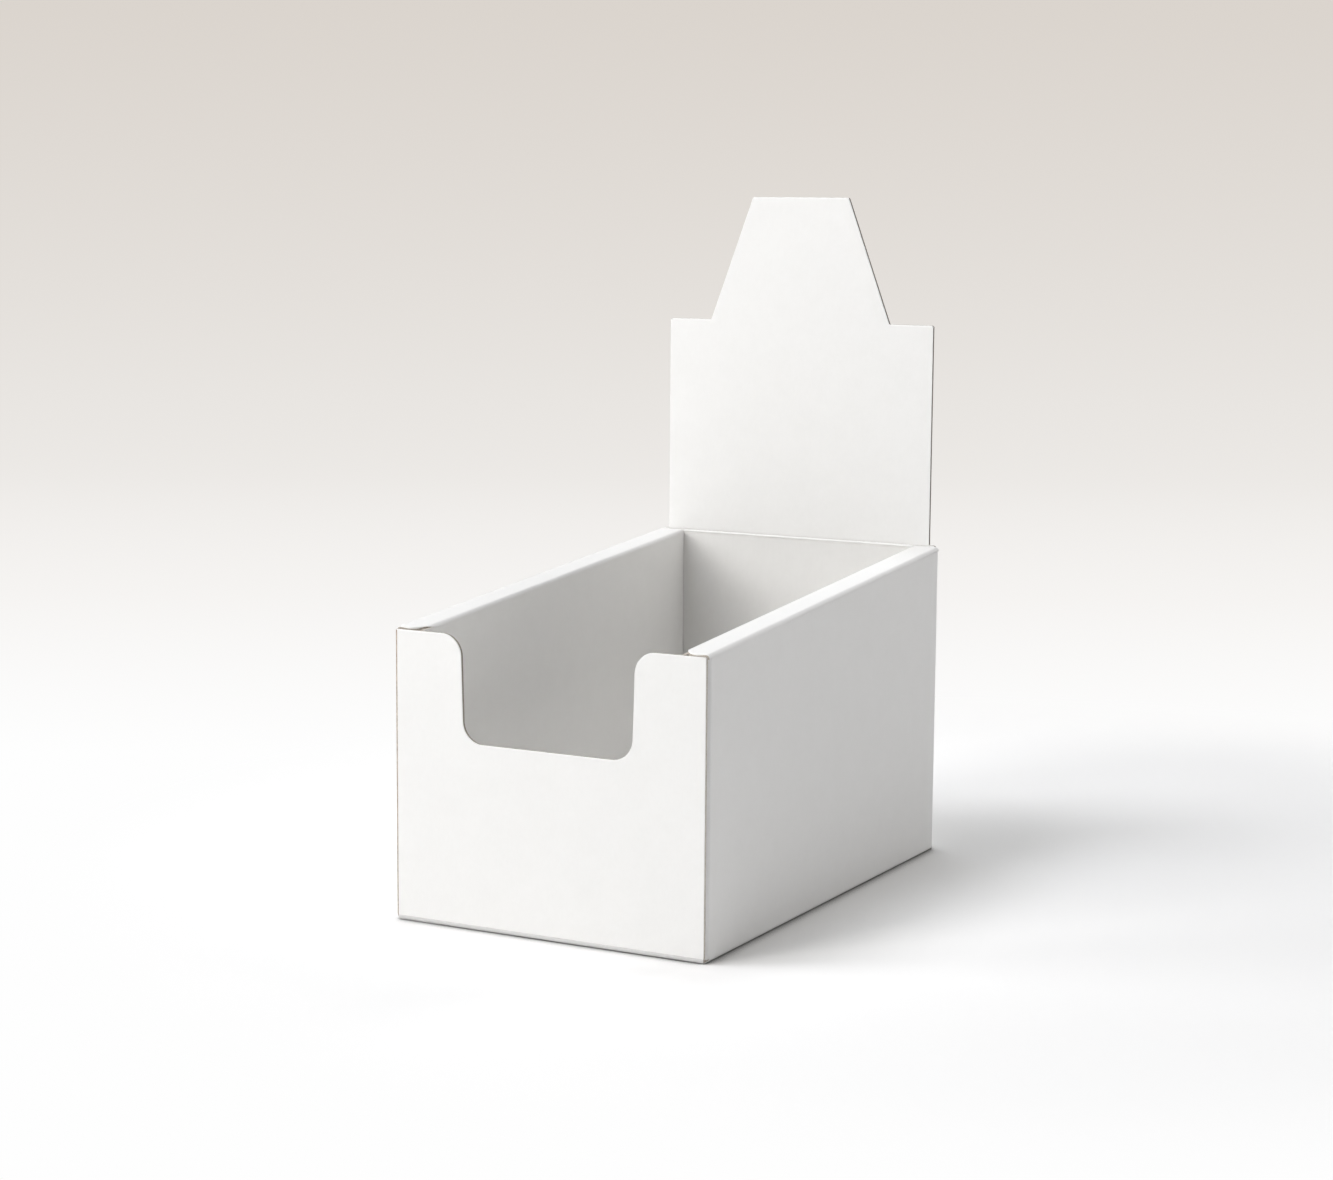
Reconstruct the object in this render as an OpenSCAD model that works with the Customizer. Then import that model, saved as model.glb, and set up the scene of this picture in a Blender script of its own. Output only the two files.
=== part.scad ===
// Counter display tray folded from one die-cut sheet of white board.
// A low front with a U-shaped cut-out, hollow roll-over side walls that rise
// to the back, and a header card that stands on the back panel.
// Units are millimetres. The origin is the middle of the footprint on the
// table, the front faces -Y and the header stands at +Y.

/* [Tray] */
// Width of the tray over its side panels
tray_w = 130; // [116:1:160]
// Depth of the tray from the front face to the back face
tray_d = 208; // [170:1:250]
// Height of the front panel
front_h = 109.6; // [100:0.2:120]
// Rise of the rims above the front panel at the front face
rim_rise = 0.7; // [0.4:0.1:1.2]
// Height of the side walls at the back face
side_back_h = 126.4; // [122:0.2:150]

/* [Board] */
// Thickness of the board
board_t = 1.5; // [1:0.1:1.8]
// Radius on the inside of a fold
fold_in_r = 0.2; // [0.1:0.05:0.4]
// Thickness of the glue between a flap and its panel
glue_t = 0.15; // [0.1:0.05:0.3]
// Distance of the front panel's cut edges from the side faces
edge_inset = 0.7; // [0.4:0.1:1.2]
// Distance of the back panel's cut edges from the side faces
back_inset = 1.6; // [1.2:0.1:2.4]
// Radius on the outer corners of the front and back panels
panel_corner_r = 1.5; // [0.8:0.1:2]
// Open gap at the ends of the folds where they meet in a corner
corner_relief = 0.4; // [0.3:0.1:1.5]

/* [Front cut-out] */
// Width of the cut-out at its mouth
cut_top_w = 72.3; // [56:0.1:76]
// Width of the cut-out at its floor
cut_floor_w = 70.1; // [54:0.1:74]
// Height of the cut-out's floor above the table
cut_floor_h = 69.7; // [55:0.1:80]
// Radius of the cut-out's four corners
cut_r = 8; // [4:0.5:9]

/* [Side walls] */
// Width of the rim on top of a hollow side wall
rim_w = 12; // [11:0.5:16]
// Radius of the rim's front inner corner
rim_corner_r = 8; // [4:0.5:8]
// Radius on the inner panels' upper front corners
inner_corner_r = 1.5; // [0.5:0.5:4]
// Clearance round the free edges inside a hollow wall
wall_clear = 0.3; // [0.2:0.05:0.6]
// Radius on the free corners of the glue flaps
flap_r = 3; // [1:0.5:4]

/* [Lock tabs] */
// Length of a lock tab under an inner panel
tab_l = 24; // [12:1:36]
// Distance between the middles of a side's two lock tabs
tab_pitch = 96; // [60:1:120]
// Clearance round a lock tab in its slot
slot_clear = 0.25; // [0.15:0.05:0.5]
// Height of a lock tab's end above the table
tab_lift = 0.2; // [0.1:0.05:0.5]

/* [Header card] */
// Distance of the header's side edges from the tray's side faces
header_inset = 4.7; // [3:0.1:8]
// Height of the header's shoulders above its crease
shoulder_h = 89.8; // [60:0.2:100]
// Height of the header's top above its crease
header_h = 141; // [115:0.5:165]
// Width of the header's tapered top at the shoulders
peak_foot_w = 81.8; // [60:0.2:92]
// Width of the header's tapered top at its upper edge
peak_top_w = 43.7; // [20:0.1:56]
// Radius on the header's shoulders
header_corner_r = 1.2; // [0.6:0.1:2]
// Radius on the corners of the header's tapered top
peak_corner_r = 0.5; // [0.3:0.1:1.2]

/* [Header crease] */
// Height of the header's crease above the rims at the back panel
crease_rise = 0.3; // [0.2:0.05:0.8]
// Gap between the header's lower edge and the back panel's upper edge
crease_gap = 0.3; // [0.2:0.05:0.5]
// Height of the pressed bead below the crease
bead_h = 1.1; // [0.8:0.1:1.6]
// Depth that the bead stands out from the back panel
bead_out = 0.3; // [0.2:0.05:0.4]
// Distance of the bead below the crease
bead_drop = 0.15; // [0.1:0.05:0.4]
// Clearance between the bead and the back panel
bead_seat = 0.02; // [0.01:0.01:0.05]

/* [Glue] */
// Width of a glue line on a flap
glue_w = 5; // [3:0.5:6]
// Distance of a glue line's ends from the flap's ends
glue_end = 8; // [4:0.5:16]

/* [Hidden] */
$fn = 64;
// Overrun of every cutting solid past the face that it cuts
cut_over = 2;
// Colours of the board outside, of the board inside and of the glue
liner_colour = [0.95, 0.95, 0.94];
inner_colour = [0.90, 0.90, 0.89];
glue_colour = [0.86, 0.80, 0.62];
half_w = tray_w / 2;
half_d = tray_d / 2;
// Outer radius of a fold
fold_out_r = board_t + fold_in_r;
// Half widths of the front panel and of the back panel
front_half_w = half_w - edge_inset;
back_half_w = half_w - back_inset;
// Half width and half depth of the flat part of the base
base_half_w = half_w - fold_out_r;
base_half_d = half_d - fold_out_r;
// Height of the rims at the front face, and their slope to the back
side_front_h = front_h + rim_rise;
rim_slope = (side_back_h - side_front_h) / tray_d;
rim_angle = atan(rim_slope);
// Distance of the rims' ends and of the flaps' outer faces from the middle
rim_half_d = half_d - board_t - glue_t;
// Half depth of a side panel between its corner folds
side_half_d = rim_half_d - fold_out_r;
// Vertical thickness of a fold and of the board under the sloping rim
fold_drop = fold_out_r / cos(rim_angle);
board_drop = board_t / cos(rim_angle);
// Distance of an inner panel's cavity face from the middle
inner_x = half_w - rim_w;
// Half depth of an inner panel
inner_half_d = half_d - board_t - wall_clear;
// Lower end of the corner folds and flaps
flap_low = fold_out_r + corner_relief;
// Line and height that the header folds about
crease_y = half_d - board_t;
crease_z = side_front_h + (tray_d - board_t) * rim_slope + crease_rise;
// Half width of the header
header_half_w = half_w - header_inset;
// Longest way across the part, for solids that cut right through
reach = tray_d + side_back_h + header_h;

// Height of the rim's upper face at a place along the depth
function rim_z(y) = side_front_h + (y + half_d) * rim_slope;
// Direction of a vector
function unit(v) = v / norm(v);
// Half of the angle between the two edges that meet in a corner
function half_angle(a, b, c) = acos(unit(a - b) * unit(c - b)) / 2;
// Centre of the circle that touches both edges of a corner
function corner_centre(a, b, c, r) =
    b + unit(unit(a - b) + unit(c - b)) * r / sin(half_angle(a, b, c));
// Point where that circle touches the edge from b to a
function touch_point(a, b, c, r) = b + unit(a - b) * r / tan(half_angle(a, b, c));
// Points of one corner: the corner itself, or the two touching points
function corner_points(a, b, c, r) =
    r == 0 ? [b] : [touch_point(a, b, c, r), touch_point(c, b, a, r)];

// Outline with a radius at each corner, its points in counterclockwise order
module rounded_outline(pts, radii) {
    n = len(pts);
    difference() {
        union() {
            polygon([for (i = [0 : n - 1])
                for (p = corner_points(pts[(i + n - 1) % n], pts[i], pts[(i + 1) % n], radii[i])) p]);
            for (i = [0 : n - 1]) {
                a = pts[(i + n - 1) % n];
                b = pts[i];
                c = pts[(i + 1) % n];
                if (radii[i] > 0 && cross(b - a, c - b) > 0)
                    translate(corner_centre(a, b, c, radii[i])) circle(r = radii[i]);
            }
        }
        for (i = [0 : n - 1]) {
            a = pts[(i + n - 1) % n];
            b = pts[i];
            c = pts[(i + 1) % n];
            if (radii[i] > 0 && cross(b - a, c - b) < 0)
                translate(corner_centre(a, b, c, radii[i])) circle(r = radii[i]);
        }
    }
}

// Plate of board that faces front and back, its outline given in X and Z
module front_plate(y, thickness) {
    translate([0, y + thickness, 0]) rotate([90, 0, 0])
        linear_extrude(height = thickness) children();
}

// Plate of board that faces left and right, its outline given in Y and Z
module side_plate(x, thickness) {
    translate([x, 0, 0]) rotate([90, 0, 90])
        linear_extrude(height = thickness) children();
}

// Section of a fold: a quarter of a ring in the quadrant of the two signs
module fold_section(sign_x, sign_y) {
    intersection() {
        difference() {
            circle(r = fold_out_r);
            circle(r = fold_in_r);
        }
        translate([sign_x > 0 ? 0 : -fold_out_r - cut_over, sign_y > 0 ? 0 : -fold_out_r - cut_over])
            square(fold_out_r + cut_over);
    }
}

// Frame of the right-hand rim: Y runs up its slope and Z stands off its face
module on_rim() {
    translate([0, -half_d, side_front_h]) rotate([rim_angle, 0, 0])
        translate([0, reach, 0]) rotate([90, 0, 0])
            linear_extrude(height = 2 * reach) children();
}

// Slab that trims the rims between the front and back panels
module rim_slab() {
    translate([-half_w - cut_over, -rim_half_d, 0])
        cube([tray_w + 2 * cut_over, 2 * rim_half_d, reach]);
}

// Waste outside the radius on the right-hand rim's front inner corner
module rim_corner_waste() {
    translate([inner_x - cut_over, -rim_half_d - cut_over, 0])
        difference() {
            cube([rim_corner_r + cut_over, rim_corner_r + cut_over, reach]);
            translate([rim_corner_r + cut_over, rim_corner_r + cut_over, -cut_over])
                cylinder(r = rim_corner_r, h = reach + 2 * cut_over);
        }
}

// Right-hand lock tabs or, with a clearance, the slots that take them
module lock_tabs(clear, low, high) {
    for (side = [-1, 1])
        translate([inner_x - clear, side * tab_pitch / 2 - tab_l / 2 - clear, low])
            cube([board_t + 2 * clear, tab_l + 2 * clear, high - low]);
}

// Bottom of the tray with the four lock slots
module base_panel() {
    color(liner_colour) difference() {
        translate([-base_half_w, -base_half_d, 0])
            cube([2 * base_half_w, 2 * base_half_d, board_t]);
        lock_tabs(slot_clear, -cut_over, board_t + cut_over);
        mirror([1, 0, 0]) lock_tabs(slot_clear, -cut_over, board_t + cut_over);
    }
}

// Front of the tray with the U-shaped cut-out
module front_panel() {
    color(liner_colour) front_plate(-half_d, board_t)
        rounded_outline([
            [-front_half_w, fold_out_r],
            [front_half_w, fold_out_r],
            [front_half_w, front_h],
            [cut_top_w / 2, front_h],
            [cut_floor_w / 2, cut_floor_h],
            [-cut_floor_w / 2, cut_floor_h],
            [-cut_top_w / 2, front_h],
            [-front_half_w, front_h]],
            [panel_corner_r, panel_corner_r, 0, cut_r, cut_r, cut_r, cut_r, 0]);
}

// Back of the tray up to the header's crease
module back_panel() {
    color(liner_colour) front_plate(crease_y, board_t)
        rounded_outline([
            [-back_half_w, fold_out_r],
            [back_half_w, fold_out_r],
            [back_half_w, crease_z],
            [-back_half_w, crease_z]],
            [panel_corner_r, panel_corner_r, panel_corner_r, panel_corner_r]);
}

// Header card: a square lower part, shoulders and a tapered top
module header_panel() {
    shoulder_z = crease_z + shoulder_h;
    top_z = crease_z + header_h;
    color(liner_colour) front_plate(crease_y, board_t)
        rounded_outline([
            [-header_half_w, crease_z + crease_gap],
            [header_half_w, crease_z + crease_gap],
            [header_half_w, shoulder_z],
            [peak_foot_w / 2, shoulder_z],
            [peak_top_w / 2, top_z],
            [-peak_top_w / 2, top_z],
            [-peak_foot_w / 2, shoulder_z],
            [-header_half_w, shoulder_z]],
            [0, 0, header_corner_r, peak_corner_r, peak_corner_r,
                peak_corner_r, peak_corner_r, header_corner_r]);
}

// Outer panel of a side wall, its upper edge parallel to the rim
module side_panel() {
    color(liner_colour) side_plate(half_w - board_t, board_t)
        polygon([
            [-side_half_d, fold_out_r],
            [side_half_d, fold_out_r],
            [side_half_d, rim_z(side_half_d) - fold_drop],
            [-side_half_d, rim_z(-side_half_d) - fold_drop]]);
}

// Flat strip on top of a side wall, between its two folds
module rim_strip() {
    color(liner_colour) difference() {
        intersection() {
            on_rim() translate([inner_x + fold_out_r, -board_t])
                square([rim_w - 2 * fold_out_r, board_t]);
            rim_slab();
        }
        rim_corner_waste();
    }
}

// Fold between a side panel and its rim strip
module outer_rim_fold() {
    color(liner_colour) intersection() {
        on_rim() translate([half_w - fold_out_r, -fold_out_r]) fold_section(1, 1);
        rim_slab();
    }
}

// Fold between a rim strip and its inner panel
module inner_rim_fold() {
    color(liner_colour) difference() {
        intersection() {
            on_rim() translate([inner_x + fold_out_r, -fold_out_r]) fold_section(-1, 1);
            rim_slab();
        }
        rim_corner_waste();
    }
}

// Inner panel of a side wall with the tabs that lock into the base
module inner_panel() {
    color(inner_colour) union() {
        side_plate(inner_x, board_t)
            rounded_outline([
                [-inner_half_d, board_t],
                [inner_half_d, board_t],
                [inner_half_d, rim_z(inner_half_d) - fold_drop],
                [-inner_half_d, rim_z(-inner_half_d) - fold_drop]],
                [0, 0, 0, inner_corner_r]);
        lock_tabs(0, tab_lift, board_t + cut_over);
    }
}

// Glue flap inside the hollow wall, its fold edge at the side panel
module flap(y, top_z) {
    flap_in_x = inner_x + board_t + wall_clear;
    color(inner_colour) front_plate(y, board_t)
        rounded_outline([
            [flap_in_x, flap_low],
            [base_half_w, flap_low],
            [base_half_w, top_z],
            [flap_in_x, top_z]],
            [flap_r, 0, 0, flap_r]);
}

// Upper end of the front and back flaps, clear of the rim strip
function front_flap_top() = rim_z(-rim_half_d) - board_drop - wall_clear;
function back_flap_top() = rim_z(rim_half_d - board_t) - board_drop - wall_clear;

module front_flap() {
    flap(-rim_half_d, front_flap_top());
}

module back_flap() {
    flap(rim_half_d - board_t, back_flap_top());
}

// Fold along the front or the back of the base, of the named direction
module end_base_fold(sign_y) {
    fold_half_l = (sign_y > 0 ? back_half_w : front_half_w) - panel_corner_r;
    color(liner_colour) translate([-fold_half_l, sign_y * base_half_d, fold_out_r])
        rotate([90, 0, 90]) linear_extrude(height = 2 * fold_half_l)
            fold_section(sign_y, -1);
}

// Fold along the right side of the base
module side_base_fold() {
    fold_half_l = half_d - board_t - corner_relief;
    color(liner_colour) translate([base_half_w, fold_half_l, fold_out_r])
        rotate([90, 0, 0]) linear_extrude(height = 2 * fold_half_l)
            fold_section(1, -1);
}

// Upright fold between the right side panel and one of its flaps
module corner_fold(sign_y) {
    low_z = flap_low;
    color(liner_colour) intersection() {
        translate([base_half_w, sign_y * side_half_d, low_z])
            linear_extrude(height = reach) fold_section(1, sign_y);
        side_plate(0, half_w + cut_over)
            polygon([
                [-half_d, 0],
                [half_d, 0],
                [half_d, rim_z(half_d) - fold_drop],
                [-half_d, rim_z(-half_d) - fold_drop]]);
    }
}

// Pressed bead along the header's crease, on the back panel's inner face
module header_crease() {
    bead_r = (bead_h * bead_h / 4 + bead_out * bead_out) / (2 * bead_out);
    bead_y = crease_y - bead_seat;
    bead_z = crease_z - bead_drop - bead_h / 2;
    color(inner_colour) intersection() {
        translate([-inner_x, bead_y + bead_r - bead_out, bead_z])
            rotate([0, 90, 0]) cylinder(r = bead_r, h = 2 * inner_x);
        translate([-half_w, bead_y - 2 * bead_r, bead_z - bead_r])
            cube([tray_w, 2 * bead_r, 2 * bead_r]);
    }
}

// Pair of glue lines between the flaps and the panel at a place in Y
module glue_lines(y, top_z) {
    glue_x = (inner_x + board_t + wall_clear + base_half_w) / 2;
    for (side = [-1, 1])
        color(glue_colour)
            translate([side * glue_x - glue_w / 2, y, flap_low + glue_end])
                cube([glue_w, glue_t, top_z - flap_low - 2 * glue_end]);
}

module left_side_panel() {
    mirror([1, 0, 0]) side_panel();
}

module right_side_panel() {
    side_panel();
}

module left_rim_strip() {
    mirror([1, 0, 0]) rim_strip();
}

module right_rim_strip() {
    rim_strip();
}

module left_inner_panel() {
    mirror([1, 0, 0]) inner_panel();
}

module right_inner_panel() {
    inner_panel();
}

module front_left_flap() {
    mirror([1, 0, 0]) front_flap();
}

module front_right_flap() {
    front_flap();
}

module back_left_flap() {
    mirror([1, 0, 0]) back_flap();
}

module back_right_flap() {
    back_flap();
}

module front_base_fold() {
    end_base_fold(-1);
}

module back_base_fold() {
    end_base_fold(1);
}

module left_base_fold() {
    mirror([1, 0, 0]) side_base_fold();
}

module right_base_fold() {
    side_base_fold();
}

module front_left_corner_fold() {
    mirror([1, 0, 0]) corner_fold(-1);
}

module front_right_corner_fold() {
    corner_fold(-1);
}

module back_left_corner_fold() {
    mirror([1, 0, 0]) corner_fold(1);
}

module back_right_corner_fold() {
    corner_fold(1);
}

module left_outer_rim_fold() {
    mirror([1, 0, 0]) outer_rim_fold();
}

module right_outer_rim_fold() {
    outer_rim_fold();
}

module left_inner_rim_fold() {
    mirror([1, 0, 0]) inner_rim_fold();
}

module right_inner_rim_fold() {
    inner_rim_fold();
}

module front_glue_lines() {
    glue_lines(-half_d + board_t, front_flap_top());
}

module back_glue_lines() {
    glue_lines(rim_half_d, back_flap_top());
}

base_panel();
front_panel();
back_panel();
header_panel();
left_side_panel();
right_side_panel();
left_rim_strip();
right_rim_strip();
left_inner_panel();
right_inner_panel();
front_left_flap();
front_right_flap();
back_left_flap();
back_right_flap();
front_base_fold();
back_base_fold();
left_base_fold();
right_base_fold();
front_left_corner_fold();
front_right_corner_fold();
back_left_corner_fold();
back_right_corner_fold();
left_outer_rim_fold();
right_outer_rim_fold();
left_inner_rim_fold();
right_inner_rim_fold();
header_crease();
front_glue_lines();
back_glue_lines();
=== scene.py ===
import math

import bmesh
import bpy
from mathutils import Matrix, Vector


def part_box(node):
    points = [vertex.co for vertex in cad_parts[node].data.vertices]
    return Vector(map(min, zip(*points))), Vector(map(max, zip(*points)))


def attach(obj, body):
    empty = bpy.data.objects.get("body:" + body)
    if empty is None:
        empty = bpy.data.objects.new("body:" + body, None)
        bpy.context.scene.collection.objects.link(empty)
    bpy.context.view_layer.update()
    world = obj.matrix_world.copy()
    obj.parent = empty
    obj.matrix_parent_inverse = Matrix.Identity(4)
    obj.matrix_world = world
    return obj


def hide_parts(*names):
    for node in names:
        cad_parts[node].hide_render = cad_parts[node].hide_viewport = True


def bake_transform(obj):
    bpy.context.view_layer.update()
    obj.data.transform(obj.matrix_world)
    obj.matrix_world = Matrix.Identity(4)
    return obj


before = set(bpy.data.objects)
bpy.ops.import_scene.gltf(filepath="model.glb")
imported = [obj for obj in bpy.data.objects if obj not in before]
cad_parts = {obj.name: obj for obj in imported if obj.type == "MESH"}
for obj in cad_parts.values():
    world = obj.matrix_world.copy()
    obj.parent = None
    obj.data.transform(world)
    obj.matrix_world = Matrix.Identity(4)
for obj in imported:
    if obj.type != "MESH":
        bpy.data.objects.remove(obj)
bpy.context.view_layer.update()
print("frame loaded:", len(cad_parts), "nodes")

# the camera stands at the front right of the tray, a little above its rims
cameraSettings = {
    "place": (0.508495, -0.968864, 0.269464),
    "turn": 28.009,   # degrees to the left of straight ahead
    "tip": 7.978,     # degrees down
    "roll": 0.424,    # degrees
    "lens": 76.719,   # millimetres
    "sensor": 36,     # millimetres
    "near": 0.01,     # metres, the nearest that it sees
    "far": 30,
}


def placeCamera(settings):
    turn, tip, roll = (math.radians(settings[name]) for name in ("turn", "tip", "roll"))
    flat = math.cos(tip)
    ahead = Vector((-math.sin(turn) * flat, math.cos(turn) * flat, -math.sin(tip)))
    level = Vector((math.cos(turn), math.sin(turn), 0))
    upright = level.cross(ahead)
    right = level * math.cos(roll) + upright * math.sin(roll)
    up = upright * math.cos(roll) - level * math.sin(roll)
    data = bpy.data.cameras.new("camera")
    data.lens = settings["lens"]
    data.sensor_width = settings["sensor"]
    data.clip_start = settings["near"]
    data.clip_end = settings["far"]
    camera = bpy.data.objects.new("camera", data)
    turned = Matrix((right, up, -ahead)).transposed().to_4x4()
    camera.matrix_world = Matrix.Translation(settings["place"]) @ turned
    bpy.context.scene.collection.objects.link(camera)
    bpy.context.scene.camera = camera


placeCamera(cameraSettings)
print("camera placed")

# white faces of the board, tones in linear light
linerFinish = {
    "light": (0.902, 0.894, 0.878),
    "dark": (0.882, 0.874, 0.857),
    "cloud": 130,       # per metre, soft clouds in the coating
    "fibre": 950,       # per metre, fibres under the coating
    "fibreDetail": 4.0,
    "fibreBite": 0.6,
    "fibreShare": 0.55,   # of the tone, the clouds make the rest
    "tooth": 3200,      # per metre, surface tooth of the paper
    "toothShare": 0.4,    # of the relief, the fibres make the rest
    "stretch": (1.0, 1.0, 0.42),
    "toneSpread": (0.34, 0.66),
    "rough": (0.50, 0.64),
    "specular": 0.36,
    "relief": 0.00005,  # metres
    "bump": 0.32,
}
innerFinish = dict(linerFinish, light=(0.848, 0.838, 0.818), dark=(0.824, 0.814, 0.793),
                   fibre=700, rough=(0.62, 0.76), specular=0.25, relief=0.00007, bump=0.42)
# lighter liner for folds: partly the stretched liner, partly a painted highlight on the corner
# folds and the header's crease
foldHighlightFinish = dict(linerFinish, light=(0.945, 0.938, 0.924), dark=(0.905, 0.897, 0.882),
                  fibre=1700, rough=(0.46, 0.60), relief=0.00006, bump=0.4)
# painted shade: a greyer copy of the fold liner for the lower part of the front panel's fold
shadeBandFinish = dict(foldHighlightFinish, light=(0.735, 0.727, 0.717), dark=(0.66, 0.652, 0.642))

# the grey-brown core that the cut edges show
coreFinish = {
    "light": (0.400, 0.352, 0.305),
    "dark": (0.215, 0.185, 0.158),
    "ply": 2600,        # per metre across the thickness
    "grain": 420,       # per metre along the edge
    "plyDetail": 3.0,
    "plyBite": 0.65,
    "fleck": 1900,      # per metre, flecks in the pulp
    "fleckBite": 0.7,
    "fleckShare": 0.45,   # of the tone, the plies make the rest
    "toneSpread": (0.36, 0.64),
    "rough": 0.92,
    "specular": 0.15,
    "relief": 0.00012,  # metres
    "bump": 0.55,
}
paleCore = dict(coreFinish, light=(0.68, 0.62, 0.555), dark=(0.42, 0.375, 0.33))
seamCore = dict(coreFinish, light=(0.78, 0.715, 0.65), dark=(0.52, 0.468, 0.42))
# darker core for the header's cut edges: partly its own core, partly painted shade along its side
# edge
shadedCardCore = dict(coreFinish, light=(0.285, 0.250, 0.220), dark=(0.150, 0.130, 0.112))
# brown tone of core and painted shade, for the left side's eased corner of the front panel
edgeShadeCore = dict(coreFinish, light=(0.56, 0.455, 0.375), dark=(0.27, 0.205, 0.16), grain=900)

glueFinish = {
    "light": (0.80, 0.73, 0.50),
    "dark": (0.62, 0.54, 0.33),
    "ripple": 420,      # per metre
    "stretch": (1, 1, 0.3),
    "toneSpread": (0.3, 0.7),
    "rough": (0.22, 0.40),
    "relief": 0.00015,  # metres
    "bump": 0.5,
}
noiseReach = (0.3, 0.7)   # most of a noise lies between these


def newMaterial(name):
    material = bpy.data.materials.new(name)
    material.use_nodes = True
    tree = material.node_tree
    tree.nodes.clear()
    output = tree.nodes.new("ShaderNodeOutputMaterial")
    shader = tree.nodes.new("ShaderNodeBsdfPrincipled")
    tree.links.new(shader.outputs["BSDF"], output.inputs["Surface"])
    return material, tree, shader


def noiseIn(tree, scale, stretch=(1, 1, 1), detail=2.0, bite=0.55):
    place = tree.nodes.new("ShaderNodeTexCoord")
    mapping = tree.nodes.new("ShaderNodeMapping")
    mapping.inputs["Scale"].default_value = stretch
    noise = tree.nodes.new("ShaderNodeTexNoise")
    noise.inputs["Scale"].default_value = scale
    noise.inputs["Detail"].default_value = detail
    noise.inputs["Roughness"].default_value = bite
    tree.links.new(place.outputs["Object"], mapping.inputs["Vector"])
    tree.links.new(mapping.outputs["Vector"], noise.inputs["Vector"])
    return noise.outputs["Fac"]


def joined(tree, first, second, share):
    # weighted sum of two heights
    mix = tree.nodes.new("ShaderNodeMix")
    mix.inputs["Factor"].default_value = share
    tree.links.new(first, mix.inputs["A"])
    tree.links.new(second, mix.inputs["B"])
    return mix.outputs["Result"]


def toned(tree, value, stops):
    # colour along a value, from pairs of a place and a tone
    ramp = tree.nodes.new("ShaderNodeValToRGB")
    marks = ramp.color_ramp.elements
    for place, tone in stops[1:-1]:
        marks.new(place).color = (*tone, 1)
    for mark, (place, tone) in zip(marks, stops):
        mark.position = place
        mark.color = (*tone, 1)
    tree.links.new(value, ramp.inputs["Fac"])
    return ramp.outputs["Color"]


def boardTone(tree, height, finish):
    low, high = finish["toneSpread"]
    return toned(tree, height, ((low, finish["dark"]), (high, finish["light"])))


def spanned(tree, value, start, end, low=0.0, high=1.0, smooth=False):
    # a value that goes from start to end, made to go from low to high
    span = tree.nodes.new("ShaderNodeMapRange")
    if smooth:
        span.interpolation_type = "SMOOTHSTEP"
    span.inputs["From Min"].default_value = start
    span.inputs["From Max"].default_value = end
    span.inputs["To Min"].default_value = low
    span.inputs["To Max"].default_value = high
    tree.links.new(value, span.inputs["Value"])
    return span.outputs["Result"]


def combined(tree, operation, first, second):
    both = tree.nodes.new("ShaderNodeMath")
    both.operation = operation
    tree.links.new(first, both.inputs[0])
    tree.links.new(second, both.inputs[1])
    return both.outputs[0]


def raised(tree, height, shader, finish):
    bump = tree.nodes.new("ShaderNodeBump")
    bump.inputs["Distance"].default_value = finish["relief"]
    bump.inputs["Strength"].default_value = finish["bump"]
    tree.links.new(height, bump.inputs["Height"])
    tree.links.new(bump.outputs["Normal"], shader.inputs["Normal"])


def paper(name, finish):
    material, tree, shader = newMaterial(name)
    cloud = noiseIn(tree, finish["cloud"])
    fibre = noiseIn(tree, finish["fibre"], finish["stretch"], finish["fibreDetail"],
                    finish["fibreBite"])
    tooth = noiseIn(tree, finish["tooth"])
    tone = joined(tree, cloud, fibre, finish["fibreShare"])
    rough = spanned(tree, fibre, *noiseReach, *finish["rough"])
    tree.links.new(boardTone(tree, tone, finish), shader.inputs["Base Color"])
    tree.links.new(rough, shader.inputs["Roughness"])
    shader.inputs["Specular IOR Level"].default_value = finish["specular"]
    raised(tree, joined(tree, fibre, tooth, finish["toothShare"]), shader, finish)
    return material


def cutBoard(name, finish, across):
    # plies lie square to the axis named by across, 0 for X, 1 for Y and 2 for Z
    material, tree, shader = newMaterial(name)
    stretch = [finish["grain"] / finish["ply"]] * 3
    stretch[across] = 1.0
    plies = noiseIn(tree, finish["ply"], stretch, finish["plyDetail"], finish["plyBite"])
    flecks = noiseIn(tree, finish["fleck"], bite=finish["fleckBite"])
    tone = joined(tree, plies, flecks, finish["fleckShare"])
    tree.links.new(boardTone(tree, tone, finish), shader.inputs["Base Color"])
    shader.inputs["Roughness"].default_value = finish["rough"]
    shader.inputs["Specular IOR Level"].default_value = finish["specular"]
    raised(tree, tone, shader, finish)
    return material


def driedGlue(name, finish):
    material, tree, shader = newMaterial(name)
    ripple = noiseIn(tree, finish["ripple"], finish["stretch"])
    rough = spanned(tree, ripple, *noiseReach, *finish["rough"])
    tree.links.new(boardTone(tree, ripple, finish), shader.inputs["Base Color"])
    tree.links.new(rough, shader.inputs["Roughness"])
    raised(tree, ripple, shader, finish)
    return material


whiteLiner = paper("whiteLiner", linerFinish)
innerLiner = paper("innerLiner", innerFinish)
highlitFoldLiner = paper("highlitFoldLiner", foldHighlightFinish)
shadedFoldBand = paper("shadedFoldBand", shadeBandFinish)
coreAcrossX = cutBoard("coreAcrossX", paleCore, 0)
coreAcrossY = cutBoard("coreAcrossY", coreFinish, 1)
coreAcrossZ = cutBoard("coreAcrossZ", coreFinish, 2)
shadedHeaderCore = cutBoard("shadedHeaderCore", shadedCardCore, 1)
frontCore = cutBoard("frontCore", seamCore, 1)
shadedEdgeCore = cutBoard("shadedEdgeCore", edgeShadeCore, 1)
glueMaterial = driedGlue("driedGlue", glueFinish)
print("materials made")

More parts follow.
